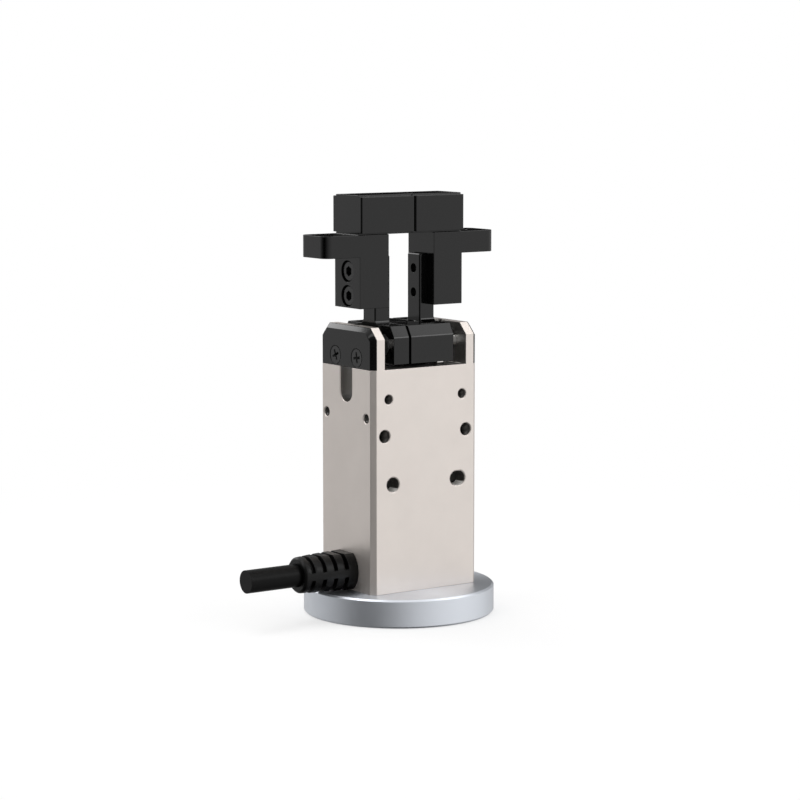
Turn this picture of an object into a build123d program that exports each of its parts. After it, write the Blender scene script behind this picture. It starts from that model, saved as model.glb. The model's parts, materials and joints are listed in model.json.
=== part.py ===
from build123d import *
import math
import os

os.makedirs("parts", exist_ok=True)

# Frame: millimetres, +Z up, +X is the opening direction of the right finger, -Y is the front face.
# The origin is the centre of the mounting flange's underside.

# Mounting flange
flange_d = 53.0
flange_t = 7.8
flange_edge = 0.5
centring_d = 20.0
centring_depth = 2.0
flange_bolt_pcd = 40.0
flange_bolt_count = 4
flange_bolt_d = 5.0
flange_bolt_depth = 6.0

# Housing; every height (_h) is measured up from the flange's top face
body_x = 35.0
body_y = 26.0
body_chamfer = 1.3
floor_h = 61.5
ear_rise = 11.3
ear_t = 4.0
ear_top_chamfer = 3.0
ear_relief_share = 0.54
cover_t = 1.4

# Housing screws that come up through the flange
base_screw_inset = 2.9
base_screw_d = 3.0
base_tap_d = 2.5
base_tap_depth = 9.0

# Cap screws share these proportions, as multiples of the thread diameter
cap_head_ratio = 1.83
cap_hex_ratio = 0.83
cap_socket_ratio = 0.5
cap_clear_ratio = 1.07
counterbore_gap = 0.2

# Screw threads are plain cylinders that clear their tapped holes by this much all round
thread_gap = 0.02
thread_end_gap = 1.0
hole_mouth = 0.25

# Electronics bay and solenoid bore
bay_x = 26.0
bay_y = 17.0
bay_h = 14.0
bay_corner_r = 2.0
bore_d = 22.0
partition_t = 4.0
chamber_corner_r = 2.0

# Windows in the narrow sides
window_w = 5.8
window_drop = 9.6

# Mounting holes in the wide faces, as mirrored pairs; the large ones run right through
small_tap_d = 2.5
small_tap_depth = 6.0
small_tap_x = 12.2
small_tap_h = 53.4
large_tap_d = 3.4
large_tap_x = 13.5
large_tap_h = 43.4
dowel_d = 4.0
dowel_slot_length = 5.0
dowel_depth = 4.0
dowel_x = 10.8
dowel_h = 30.0

# Mounting holes in the narrow sides
side_tap_y = 9.7
side_tap_h = 48.2
side_tap_depth = 4.0

# Side covers and their countersunk screws
cover_edge_chamfer = 1.3
cover_screw_y = 5.2
cover_screw_d = 2.5
cover_screw_seat_d = 5.4
cover_screw_sink = 0.2
cover_screw_foot = 0.15
cover_screw_gap = 0.05
cover_screw_tip = 0.3
cross_recess_w = 0.7
cross_recess_length = 3.1
cross_recess_depth = 0.5
cross_recess_turns = (24.0, 8.0)

# Guide rods
rod_d = 3.5
rod_y = 7.0
rod_rise = 6.2
rod_fit = 0.02
rod_edge = 0.25

# Finger carriers and the bearing bushes in them
carrier_outer_x = 9.9
carrier_block_x = 4.92
carrier_gap = 0.7
carrier_inset_y = 0.9
carrier_floor_gap = 1.1
carrier_height = 10.3
carrier_bevel_h = 3.0
carrier_bevel_y = 1.8
carrier_shoulder_r = 1.4
carrier_split_gap = 0.6
bush_d = 5.6
bush_inset = 0.4
bush_fit = 0.03

# Posts that carry the jaws
post_half_y = 3.0
post_height = 18.7
post_edge = 0.3
post_foot_r = 1.0
jaw_screw_d = 3.0
jaw_screw_drop = 4.05
jaw_screw_pitch = 6.7
jaw_tap_d = 2.5

# Drive lugs, pins and rollers
finger_travel = 2.0
plunger_travel = 3.0
pin_drop = 7.7
pin_d = 2.4
pin_edge = 0.2
lug_side_gap = 0.5
lug_inset_x = 0.3
lug_below_pin = 2.0
lug_corner = 0.9
roller_d = 3.8
roller_fit = 0.05
roller_side_gap = 0.1

# Cam plate
cam_t = 4.0
cam_side_gap = 0.4
cam_slot_fit = 0.08
cam_end_wall = 1.0
cam_end_gap = 0.6
cam_below_pin = 3.2
cam_above_slot = 1.6
cam_floor_gap = 0.3
cam_corner = 1.0
cross_pin_d = 2.0
cross_pin_rise = 1.8
cross_pin_inset = 0.6

# Plunger, pole and return spring
plunger_d = 8.0
plunger_above_pin = 2.0
plunger_slot_room = 0.4
plunger_slot_gap = 0.03
plunger_tip_d = 6.4
plunger_tip_h = 2.0
pole_gap = 0.8
pole_rim = 0.2
pole_plate_t = 3.0
pole_core_h = 5.9
pole_base_rise = 1.5
spring_bore_d = 5.0
spring_bore_depth = 12.0
spring_seat_t = 3.5
spring_side_gap = 0.25
spring_wire_d = 0.8
spring_wire_sides = 8
spring_coils = 7
spring_end_gap = 0.05

# Solenoid shell, bobbin, winding and the plunger's bush
yoke_gap = 0.1
yoke_wall = 1.6
yoke_top_t = 2.5
bobbin_gap = 0.3
bobbin_wall = 0.8
bobbin_flange_t = 1.0
bobbin_edge_gap = 0.2
winding_gap = 0.3
sleeve_wall = 0.8
sleeve_flange_t = 0.8
sleeve_flange_w = 0.3
sleeve_flange_gap = 0.3
plunger_fit = 0.04
clamp_ring_t = 2.0
clamp_ring_w = 1.9

# Jaws
jaw_channel_depth = 2.4
jaw_leg_wall = 7.05
jaw_half_y = 6.2
jaw_foot_wall = 0.3
jaw_fit = 0.04
jaw_screw_sink = 0.45
wing_length = 11.3
wing_t = 6.0
wing_r = 2.3
wing_hole_inset = 3.5
wing_hole_d = 4.3
grip_block_step = 0.1
grip_block_half_y = 7.1
grip_block_height = 10.7
grip_block_edge = 0.35
grip_rabbet_y = 1.65
grip_rabbet_h = 0.45
grip_gap = 0.2
grip_offset_x = 0.6

# Control board and its hardware
board_gap_y = 0.9
board_gap_right = 1.0
board_gap_left = 4.0
board_gap_top = 5.4
board_t = 1.2
board_corner = 1.0
pillar_d = 4.0
pillar_inset_x = 2.6
pillar_inset_y = 2.2
board_screw_d = 2.0
board_screw_gap = 0.1
board_screw_head_d = 3.6
board_screw_head_t = 1.2
board_screw_depth = 4.0
board_tap_depth = 5.0
plug_inset_x = 0.6
plug_length = 5.0
plug_side_gap = 0.2
plug_below_cable = 1.75
capacitor_d = 3.4
capacitor_t = 2.6
capacitor_x = -2.0
capacitor_y = 4.6
chip_size = 4.0
chip_t = 1.0
chip_x = 1.2
chip_gap = 1.2
lead_d = 0.8
lead_inset = 1.3
lead_y = 1.2

# Cable and its strain relief
cable_d = 6.3
cable_fit = 0.05
cable_stub = 16.0
cable_end_gap = 2.4
core_d = 1.1
core_y = 1.5
relief_length = 16.4
relief_body_r = 6.1
relief_tip_r = 4.95
relief_tip_chamfer_r = 0.55
relief_tip_chamfer_x = 0.6
relief_flat_half = 5.0
relief_floor_gap = 0.45
relief_neck_d = 8.0
relief_neck_gap = 0.1
relief_lip_w = 0.8
relief_lip_t = 1.4
relief_lip_taper = 0.4
relief_slot_count = 4
relief_slot_start = 2.0
relief_slot_pitch = 3.45
relief_slot_w = 1.15
relief_slot_floor = 0.8
relief_rib_half = 1.0

# Derived places, from the middle outwards
deck = flange_t
half_x = body_x / 2
half_y = body_y / 2
recess_x = half_x - cover_t
ear_inner_x = half_x - ear_t
ear_relief_r = ear_relief_share * (recess_x - ear_inner_x)
base_screw_x = half_x - base_screw_inset
base_screw_y = half_y - base_screw_inset
bay_half_x = bay_x / 2
bay_half_y = bay_y / 2
yoke_r = bore_d / 2 - yoke_gap
sleeve_d = plunger_d + 2 * sleeve_wall
sleeve_flange_d = sleeve_d + 2 * sleeve_flange_w
chamber_y = sleeve_flange_d + 2 * sleeve_flange_gap
carrier_arm_x = carrier_gap - carrier_block_x
carrier_half_y = half_y - carrier_inset_y
pin_x = (carrier_block_x + carrier_outer_x) / 2
lug_inner_y = cam_t / 2 + cam_side_gap
lug_outer_y = chamber_y / 2 - lug_side_gap
cam_slot_w = roller_d + 2 * cam_slot_fit
cam_half_x = pin_x + finger_travel + cam_slot_w / 2 + cam_end_wall
chamber_half_x = cam_half_x + cam_end_gap
cap_head_d = jaw_screw_d * cap_head_ratio
counterbore_r = cap_head_d / 2 + counterbore_gap
jaw_inner_x = carrier_outer_x - jaw_channel_depth
jaw_outer_x = carrier_outer_x + jaw_leg_wall
jaw_screw_seat_x = jaw_outer_x - jaw_screw_sink - jaw_screw_d
wing_outer_x = jaw_outer_x + wing_length
grip_outer_x = jaw_outer_x + grip_block_step
wing_hole_x = grip_outer_x + wing_hole_inset
relief_outer_x = -half_x - relief_length
cable_outer_x = relief_outer_x - cable_stub
cable_inner_x = cable_end_gap - bay_half_x

# Derived heights; the drive hangs from the slot's floor and the solenoid fills what is left
ear_h = floor_h + ear_rise
window_low_h = floor_h - window_drop
cover_screw_h = floor_h + cover_screw_seat_d / 2 + cover_screw_foot
rod_h = floor_h + rod_rise
carrier_low_h = floor_h + carrier_floor_gap
carrier_top_h = carrier_low_h + carrier_height
post_top_h = carrier_top_h + post_height
jaw_screw_high_h = post_top_h - jaw_screw_drop
jaw_screw_low_h = jaw_screw_high_h - jaw_screw_pitch
jaw_low_h = jaw_screw_low_h - counterbore_r - jaw_foot_wall
wing_top_h = post_top_h + wing_t
grip_top_h = wing_top_h + grip_block_height
pin_h = floor_h - pin_drop
cam_low_h = pin_h - cam_below_pin
cam_top_h = pin_h + plunger_travel + cam_slot_w / 2 + cam_above_slot
cross_pin_h = cam_low_h + cross_pin_rise
plunger_top_h = cross_pin_h + plunger_above_pin
plunger_slot_h = cam_low_h - plunger_slot_room
chamber_floor_h = cam_low_h - plunger_travel - cam_floor_gap - sleeve_flange_t
bore_top_h = chamber_floor_h - partition_t
pole_base_h = bay_h + pole_base_rise
spring_seat_h = pole_base_h + spring_seat_t
cup_floor_h = pole_base_h + pole_core_h
plunger_low_h = cup_floor_h + pole_gap + plunger_travel
board_h = bay_h - board_gap_top
board_top_h = board_h + board_t
cable_h = relief_flat_half + relief_floor_gap
board_x0 = board_gap_left - bay_half_x
board_x1 = bay_half_x - board_gap_right
board_half_y = bay_half_y - board_gap_y
pillar_y = board_half_y - pillar_inset_y
plug_x0 = board_x0 + plug_inset_x
lead_x = yoke_r - yoke_wall - lead_inset


def block(x0, x1, y0, y1, z0, z1):
    """A box between two corners; heights are above the flange's top face."""
    size = Box(x1 - x0, y1 - y0, z1 - z0)
    return Pos((x0 + x1) / 2, (y0 + y1) / 2, deck + (z0 + z1) / 2) * size


def rod_along_x(d, x0, x1, y, z):
    return Pos((x0 + x1) / 2, y, deck + z) * Rot(0, 90, 0) * Cylinder(d / 2, x1 - x0)


def rod_along_y(d, x, y0, y1, z):
    return Pos(x, (y0 + y1) / 2, deck + z) * Rot(90, 0, 0) * Cylinder(d / 2, y1 - y0)


def rod_along_z(d, x, y, z0, z1):
    return Pos(x, y, deck + (z0 + z1) / 2) * Cylinder(d / 2, z1 - z0)


def prism_x(points, x0, x1):
    """A profile drawn in Y and height, extruded along X."""
    outline = [(y, deck + z) for y, z in points]
    face = Plane.YZ.offset(x0) * make_face(Polyline(*outline, close=True))
    return extrude(face, amount=x1 - x0)


def prism_y(points, y0, y1):
    """A profile drawn in X and height, extruded along Y."""
    outline = [(x, deck + z) for x, z in points]
    face = Plane.XZ.offset(-y0) * make_face(Polyline(*outline, close=True))
    return extrude(face, amount=-(y1 - y0))


def rounded_pocket(size_x, size_y, radius, z0, z1):
    sketch = Plane.XY.offset(deck + z0) * RectangleRounded(size_x, size_y, radius)
    return extrude(sketch, amount=z1 - z0)


def corners(x, y):
    return [(sx * x, sy * y) for sx in (-1, 1) for sy in (-1, 1)]


def turned(part):
    """The same piece turned half a turn about Z, as the other finger needs it."""
    return Rot(0, 0, 180) * part


def cap_screw(d, length, thread_d, thread_length):
    """A socket head cap screw, head up, with the underside of its head at the origin."""
    head_r = d * cap_head_ratio / 2
    screw = Pos(0, 0, d / 2) * Cylinder(head_r, d)
    screw += Pos(0, 0, -(length - thread_length) / 2) * Cylinder(d / 2, length - thread_length)
    screw += Pos(0, 0, -length + thread_length / 2) * Cylinder(thread_d / 2, thread_length)
    hexagon = RegularPolygon(d * cap_hex_ratio / 2, 6, major_radius=False)
    socket = extrude(Plane.XY.offset(d * (1 - cap_socket_ratio)) * hexagon, amount=d)
    return screw - socket


def drilled(d, depth):
    """A blind hole with its mouth at the origin, going down along Z, with a broken edge."""
    hole = Pos(0, 0, -depth / 2) * Cylinder(d / 2, depth)
    return hole + Pos(0, 0, -hole_mouth / 2) * Cone(d / 2, d / 2 + hole_mouth, hole_mouth)


def save(name, part):
    export_step(part, f"parts/{name}.step")


def make_flange():
    disc = Pos(0, 0, flange_t / 2) * Cylinder(flange_d / 2, flange_t)
    disc = chamfer(disc.edges().filter_by(GeomType.CIRCLE), flange_edge)
    disc -= Pos(0, 0, centring_depth / 2) * Cylinder(centring_d / 2, centring_depth)
    for index in range(flange_bolt_count):
        angle = math.radians(index * 360 / flange_bolt_count)
        x = math.cos(angle) * flange_bolt_pcd / 2
        y = math.sin(angle) * flange_bolt_pcd / 2
        disc -= Pos(x, y, flange_bolt_depth / 2) * Cylinder(flange_bolt_d / 2, flange_bolt_depth)
    sink = base_screw_d + counterbore_gap
    for x, y in corners(base_screw_x, base_screw_y):
        disc -= Pos(x, y, flange_t / 2) * Cylinder(base_screw_d * cap_clear_ratio / 2, flange_t)
        head_r = base_screw_d * cap_head_ratio / 2 + counterbore_gap
        disc -= Pos(x, y, sink / 2) * Cylinder(head_r, sink)
    return disc


def make_flange_screws():
    sink = base_screw_d + counterbore_gap
    in_housing = base_tap_depth - thread_end_gap
    screw = cap_screw(base_screw_d, flange_t - sink + in_housing, base_tap_d - 2 * thread_gap, in_housing)
    screws = [Pos(x, y, sink) * Rot(180, 0, 0) * screw for x, y in corners(base_screw_x, base_screw_y)]
    return Compound(screws)


def ear_profile(half_width, low, high, corner):
    return [
        (-half_width, low),
        (half_width, low),
        (half_width, high - corner),
        (half_width - corner, high),
        (corner - half_width, high),
        (-half_width, high - corner),
    ]


def make_housing():
    shell = prism_x(ear_profile(half_y, 0, ear_h, ear_top_chamfer), -half_x, half_x)
    upright = shell.edges().filter_by(Axis.Z)
    shell = chamfer(upright, body_chamfer)
    shell -= block(-ear_inner_x, ear_inner_x, -half_y, half_y, floor_h, ear_h + 1)
    for side in (-1, 1):
        x0, x1 = sorted((side * recess_x, side * (half_x + 1)))
        shell -= block(x0, x1, -half_y - 1, half_y + 1, floor_h, ear_h + 1)
        shell -= rod_along_z(2 * ear_relief_r, side * ear_inner_x, 0, floor_h, ear_h + 1)
    shell -= rounded_pocket(bay_x, bay_y, bay_corner_r, 0, bay_h)
    shell -= rod_along_z(bore_d, 0, 0, 0, bore_top_h)
    shell -= rod_along_z(sleeve_d, 0, 0, bore_top_h, chamber_floor_h)
    shell -= rounded_pocket(2 * chamber_half_x, chamber_y, chamber_corner_r, chamber_floor_h, floor_h)
    for side in (-1, 1):
        x0, x1 = sorted((side * (chamber_half_x - 1), side * half_x))
        ends = window_w / 2
        shell -= block(x0, x1, -ends, ends, window_low_h + ends, floor_h)
        shell -= rod_along_x(window_w, x0, x1, 0, window_low_h + ends)
        shell -= rod_along_x(window_w, x0, x1, 0, floor_h)
        for y in (-side_tap_y, side_tap_y):
            mouth = Pos(side * half_x, y, deck + side_tap_h) * Rot(0, side * 90, 0)
            shell -= mouth * drilled(small_tap_d, side_tap_depth)
        for y in (-cover_screw_y, cover_screw_y):
            x0, x1 = sorted((side * ear_inner_x, side * recess_x))
            shell -= rod_along_x(cover_screw_d, x0, x1, y, cover_screw_h)
        for y in (-rod_y, rod_y):
            x0, x1 = sorted((side * ear_inner_x, side * recess_x))
            shell -= rod_along_x(rod_d + 2 * rod_fit, x0, x1, y, rod_h)
    for face in (-1, 1):
        mouth = Pos(0, face * half_y, deck) * Rot(-face * 90, 0, 0)
        for side in (-1, 1):
            shell -= Pos(side * small_tap_x, 0, small_tap_h) * mouth * drilled(small_tap_d, small_tap_depth)
            shell -= Pos(side * large_tap_x, 0, large_tap_h) * mouth * drilled(large_tap_d, half_y)
        shell -= Pos(face * dowel_x, 0, dowel_h) * mouth * drilled(dowel_d, dowel_depth)
        shell -= Pos(-face * dowel_x, 0, dowel_h) * mouth * dowel_slot()
    for x, y in corners(base_screw_x, base_screw_y):
        shell -= rod_along_z(base_tap_d, x, y, 0, base_tap_depth)
    cable_hole_d = relief_neck_d + 2 * relief_neck_gap
    shell -= rod_along_x(cable_hole_d, -half_x - 1, -bay_half_x + 1, 0, cable_h)
    return shell


def dowel_slot():
    """The oblong dowel hole: two drilled ends and the straight part between them."""
    run = dowel_slot_length - dowel_d
    slot = Pos(0, 0, -dowel_depth / 2) * Box(run, dowel_d, dowel_depth)
    for shift in (-run / 2, run / 2):
        slot += Pos(shift, 0, 0) * drilled(dowel_d, dowel_depth)
    return slot


def make_cover():
    """The right cover; its outer face is bevelled all round except along the foot."""
    outline = ear_profile(half_y, floor_h, ear_h, ear_top_chamfer)
    plate = prism_x(outline, recess_x, half_x)
    outer = plate.faces().sort_by(Axis.X)[-1]
    rim = outer.edges().filter_by(lambda edge: edge.center().Z > deck + floor_h + 0.01)
    plate = chamfer(rim, cover_edge_chamfer)
    for y in (-cover_screw_y, cover_screw_y):
        plate -= rod_along_x(cover_screw_d + 2 * thread_gap, recess_x, half_x, y, cover_screw_h)
        plate -= countersink(y, cover_screw_seat_d / 2, 0, 0)
    return plate


def countersink(y, seat_r, sink, lift):
    """The 90 degree cone of a cover screw, from sink below the cover's face to lift above its back."""
    depth = cover_t - sink - lift
    cone = Cone(seat_r - sink - depth, seat_r - sink, depth)
    return Pos(half_x - sink - depth / 2, y, deck + cover_screw_h) * Rot(0, 90, 0) * cone


def make_cover_screws():
    """Two screws whose heads sit a little below the cover's face; each was stopped at its own angle."""
    screws = []
    thread_d = cover_screw_d - 2 * thread_gap
    tip_x = ear_inner_x + cover_screw_tip
    seat_r = cover_screw_seat_d / 2 - cover_screw_gap
    for y, turn in zip((-cover_screw_y, cover_screw_y), cross_recess_turns):
        screw = countersink(y, seat_r, cover_screw_sink, cover_screw_gap)
        screw += rod_along_x(thread_d, tip_x, recess_x + cover_t / 2, y, cover_screw_h)
        for angle in (turn, turn + 90):
            wing = Box(2 * cross_recess_depth, cross_recess_length, cross_recess_w)
            place = Pos(half_x - cover_screw_sink, y, deck + cover_screw_h)
            screw -= place * Rot(angle, 0, 0) * wing
        screws.append(screw)
    return Compound(screws)


def make_rod(y):
    rod = rod_along_x(rod_d, -recess_x, recess_x, y, rod_h)
    return chamfer(rod.edges().filter_by(GeomType.CIRCLE), rod_edge)


def carrier_bar(x0, x1, y0, y1):
    """A length of the carriers' bevelled section, cut to the width between y0 and y1."""
    shoulder_h = carrier_top_h - carrier_bevel_h
    top_half_y = carrier_half_y - carrier_bevel_y
    outline = [
        (-carrier_half_y, carrier_low_h),
        (carrier_half_y, carrier_low_h),
        (carrier_half_y, shoulder_h),
        (top_half_y, carrier_top_h),
        (-top_half_y, carrier_top_h),
        (-carrier_half_y, shoulder_h),
    ]
    bar = prism_x(outline, x0, x1)
    shoulders = bar.edges().filter_by(Axis.X).group_by(Axis.Z)[1]
    bar = fillet(shoulders, carrier_shoulder_r)
    return bar & block(x0, x1, y0, y1, carrier_low_h, carrier_top_h)


def make_right_carrier():
    """Block under the post, arm along the front rod, drive lugs below and the post on top."""
    split = carrier_split_gap / 2
    carrier = carrier_bar(carrier_block_x, carrier_outer_x, -carrier_half_y, carrier_half_y)
    carrier += carrier_bar(carrier_arm_x, carrier_outer_x, -carrier_half_y, -split)
    post = block(carrier_block_x, carrier_outer_x, -post_half_y, post_half_y, carrier_top_h, post_top_h)
    top_edges = post.edges().group_by(Axis.Z)[-1]
    post = chamfer(post.edges().filter_by(Axis.Z) + top_edges, post_edge)
    carrier += post
    carrier += post_foot()
    for side in (-1, 1):
        y0, y1 = sorted((side * lug_inner_y, side * lug_outer_y))
        lug_x0 = carrier_block_x + lug_inset_x
        lug_x1 = carrier_outer_x - lug_inset_x
        lug = block(lug_x0, lug_x1, y0, y1, pin_h - lug_below_pin, carrier_low_h)
        low_edges = lug.edges().filter_by(Axis.Y).group_by(Axis.Z)[0]
        carrier += chamfer(low_edges, lug_corner)
    carrier -= rod_along_y(pin_d, pin_x, -lug_outer_y, lug_outer_y, pin_h)
    for y in (-rod_y, rod_y):
        carrier -= rod_along_x(bush_d, carrier_arm_x, carrier_outer_x, y, rod_h)
    for h in (jaw_screw_low_h, jaw_screw_high_h):
        carrier -= rod_along_x(jaw_tap_d, carrier_block_x, carrier_outer_x, 0, h)
    return carrier


def post_foot():
    """Concave fillet where the front and back of the post rise from the block."""
    x0 = carrier_block_x + post_edge
    x1 = carrier_outer_x
    reach = post_half_y + post_foot_r
    top = carrier_top_h + post_foot_r
    foot = block(x0, x1, -reach, reach, carrier_top_h, top)
    for y in (-reach, reach):
        foot -= rod_along_x(2 * post_foot_r, x0, x1, y, top)
    return foot


def make_right_bushes():
    """Three plain bearings: one in the block for the rear rod, two in the arm for the front rod."""
    length = carrier_outer_x - carrier_block_x - 2 * bush_inset
    starts = [
        (carrier_block_x + bush_inset, rod_y),
        (carrier_block_x + bush_inset, -rod_y),
        (carrier_arm_x + bush_inset, -rod_y),
    ]
    bushes = []
    for x, y in starts:
        bush = rod_along_x(bush_d, x, x + length, y, rod_h)
        bushes.append(bush - rod_along_x(rod_d + 2 * bush_fit, x, x + length, y, rod_h))
    return Compound(bushes)


def make_right_drive_pin():
    pin = rod_along_y(pin_d, pin_x, -lug_outer_y, lug_outer_y, pin_h)
    return chamfer(pin.edges().filter_by(GeomType.CIRCLE), pin_edge)


def make_right_roller():
    reach = lug_inner_y - roller_side_gap
    roller = rod_along_y(roller_d, pin_x, -reach, reach, pin_h)
    return roller - rod_along_y(pin_d + 2 * roller_fit, pin_x, -reach, reach, pin_h)


def make_jaw(side):
    """Leg on the post, wing that points outwards and gripping block that reaches the centre.

    It is drawn as the right jaw (side 1); the left one (side -1) is turned into its place.
    """
    jaw = block(jaw_inner_x, jaw_outer_x, -jaw_half_y, jaw_half_y, jaw_low_h, wing_top_h)
    wing = block(jaw_inner_x, wing_outer_x, -jaw_half_y, jaw_half_y, post_top_h, wing_top_h)
    ends = wing.edges().filter_by(Axis.Z).group_by(Axis.X)[-1]
    jaw += fillet(ends, wing_r)
    jaw += make_grip_block(side * grip_offset_x + grip_gap / 2)
    channel_y = post_half_y + jaw_fit
    channel_x = carrier_outer_x + jaw_fit
    jaw -= block(jaw_inner_x, channel_x, -channel_y, channel_y, jaw_low_h, post_top_h + jaw_fit)
    jaw -= rod_along_z(wing_hole_d, wing_hole_x, 0, post_top_h, wing_top_h)
    for h in (jaw_screw_low_h, jaw_screw_high_h):
        jaw -= rod_along_x(jaw_screw_d * cap_clear_ratio, carrier_outer_x, jaw_outer_x, 0, h)
        jaw -= rod_along_x(2 * counterbore_r, jaw_screw_seat_x, jaw_outer_x, 0, h)
    return jaw if side == 1 else turned(jaw)


def make_grip_block(grip_x):
    """The gripping block from grip_x outwards, relieved along its front and back edges."""
    head = block(grip_x, grip_outer_x, -grip_block_half_y, grip_block_half_y, wing_top_h, grip_top_h)
    head = chamfer(head.edges().filter_by(Axis.Z), grip_block_edge)
    inner_y = grip_block_half_y - grip_rabbet_y
    for y0, y1 in ((-grip_block_half_y, -inner_y), (inner_y, grip_block_half_y)):
        head -= block(grip_x, grip_outer_x, y0, y1, grip_top_h - grip_rabbet_h, grip_top_h)
        head -= block(grip_x, grip_outer_x, y0, y1, wing_top_h, wing_top_h + grip_rabbet_h)
    return head


def make_right_jaw_screws():
    in_jaw = jaw_screw_seat_x - carrier_outer_x
    in_post = carrier_outer_x - carrier_block_x - thread_end_gap
    screw = cap_screw(jaw_screw_d, in_jaw + in_post, jaw_tap_d - 2 * thread_gap, in_post)
    screws = []
    for h in (jaw_screw_low_h, jaw_screw_high_h):
        screws.append(Pos(jaw_screw_seat_x, 0, deck + h) * Rot(0, 90, 0) * screw)
    return Compound(screws)


def make_cam():
    """Flat plate with a slanted slot for each roller; pulled down, it spreads the fingers."""
    cam = block(-cam_half_x, cam_half_x, -cam_t / 2, cam_t / 2, cam_low_h, cam_top_h)
    cam = chamfer(cam.edges().filter_by(Axis.Y), cam_corner)
    for side in (-1, 1):
        low = (side * pin_x, pin_h)
        high = (side * (pin_x + finger_travel), pin_h + plunger_travel)
        cam -= cam_slot(low, high)
    cam -= rod_along_y(cross_pin_d, 0, -cam_t / 2, cam_t / 2, cross_pin_h)
    return cam


def cam_slot(low, high):
    """A straight slot with round ends, from one pin place to the other, through the cam plate."""
    slot = rod_along_y(cam_slot_w, low[0], -cam_t / 2, cam_t / 2, low[1])
    slot += rod_along_y(cam_slot_w, high[0], -cam_t / 2, cam_t / 2, high[1])
    run = (high[0] - low[0], high[1] - low[1])
    length = math.hypot(*run)
    nx = -run[1] / length * cam_slot_w / 2
    nz = run[0] / length * cam_slot_w / 2
    sides = [
        (low[0] + nx, low[1] + nz),
        (high[0] + nx, high[1] + nz),
        (high[0] - nx, high[1] - nz),
        (low[0] - nx, low[1] - nz),
    ]
    return slot + prism_y(sides, -cam_t / 2, cam_t / 2)


def make_cross_pin():
    reach = plunger_d / 2 - cross_pin_inset
    return rod_along_y(cross_pin_d, 0, -reach, reach, cross_pin_h)


def revolved(points):
    outline = [(x, deck + z) for x, z in points]
    face = Plane.XZ * make_face(Polyline(*outline, close=True))
    return revolve(face, Axis.Z, 360)


def make_plunger():
    """A round bar with a conical tip, bored for the spring and forked at its top for the cam."""
    outline = [
        (0, plunger_low_h),
        (plunger_tip_d / 2, plunger_low_h),
        (plunger_d / 2, plunger_low_h + plunger_tip_h),
        (plunger_d / 2, plunger_top_h),
        (0, plunger_top_h),
    ]
    plunger = revolved(outline)
    plunger -= rod_along_z(spring_bore_d, 0, 0, plunger_low_h, plunger_low_h + spring_bore_depth)
    slot = cam_t / 2 + plunger_slot_gap
    plunger -= block(-plunger_d, plunger_d, -slot, slot, plunger_slot_h, plunger_top_h)
    plunger -= rod_along_y(cross_pin_d, 0, -plunger_d, plunger_d, cross_pin_h)
    return plunger


def make_pole():
    """End plate and core in one turned piece, hollowed for the plunger's cone and the spring."""
    cup_r = plunger_d / 2 - pole_rim
    flare = (plunger_d - plunger_tip_d) / 2
    cup_rim_h = cup_floor_h + plunger_tip_h * (cup_r - plunger_tip_d / 2) / flare
    plate_r = yoke_r - yoke_wall
    core_r = plunger_d / 2
    outline = [
        (0, pole_base_h),
        (plate_r, pole_base_h),
        (plate_r, pole_base_h + pole_plate_t),
        (core_r, pole_base_h + pole_plate_t),
        (core_r, cup_rim_h),
        (cup_r, cup_rim_h),
        (plunger_tip_d / 2, cup_floor_h),
        (0, cup_floor_h),
    ]
    pole = revolved(outline)
    pole -= rod_along_z(spring_bore_d, 0, 0, spring_seat_h, cup_rim_h)
    for y in (-lead_y, lead_y):
        pole -= rod_along_z(2 * lead_d, lead_x, y, pole_base_h, pole_base_h + pole_plate_t)
    return pole


def make_spring():
    """Compression spring from the pole's seat to the end of the plunger's bore; its wire is octagonal."""
    low = spring_seat_h + spring_end_gap + spring_wire_d / 2
    high = plunger_low_h + spring_bore_depth - spring_end_gap - spring_wire_d / 2
    height = high - low
    radius = spring_bore_d / 2 - spring_side_gap - spring_wire_d / 2
    path = Helix(pitch=height / spring_coils, height=height, radius=radius)
    start = Plane(origin=path @ 0, z_dir=path % 0)
    section = RegularPolygon(spring_wire_d / 2, spring_wire_sides)
    wire = sweep(start * section, path=path, is_frenet=True)
    return Pos(0, 0, deck + low) * wire


def make_yoke():
    yoke = rod_along_z(2 * yoke_r, 0, 0, pole_base_h, bore_top_h)
    inner_top = bore_top_h - yoke_top_t
    yoke -= rod_along_z(2 * (yoke_r - yoke_wall), 0, 0, pole_base_h, inner_top)
    yoke -= rod_along_z(sleeve_d, 0, 0, inner_top, bore_top_h)
    return yoke


def make_bobbin():
    low = pole_base_h + pole_plate_t
    high = bore_top_h - yoke_top_t
    inner_r = plunger_d / 2 + bobbin_gap
    flange_r = yoke_r - yoke_wall - bobbin_edge_gap
    tube_r = inner_r + bobbin_wall
    outline = [
        (inner_r, low),
        (flange_r, low),
        (flange_r, low + bobbin_flange_t),
        (tube_r, low + bobbin_flange_t),
        (tube_r, high - bobbin_flange_t),
        (flange_r, high - bobbin_flange_t),
        (flange_r, high),
        (inner_r, high),
    ]
    return revolved(outline)


def make_winding():
    low = pole_base_h + pole_plate_t + bobbin_flange_t
    high = bore_top_h - yoke_top_t - bobbin_flange_t
    inner_r = plunger_d / 2 + bobbin_gap + bobbin_wall
    outer_r = yoke_r - yoke_wall - bobbin_edge_gap - winding_gap
    return revolved([(inner_r, low), (outer_r, low), (outer_r, high), (inner_r, high)])


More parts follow.
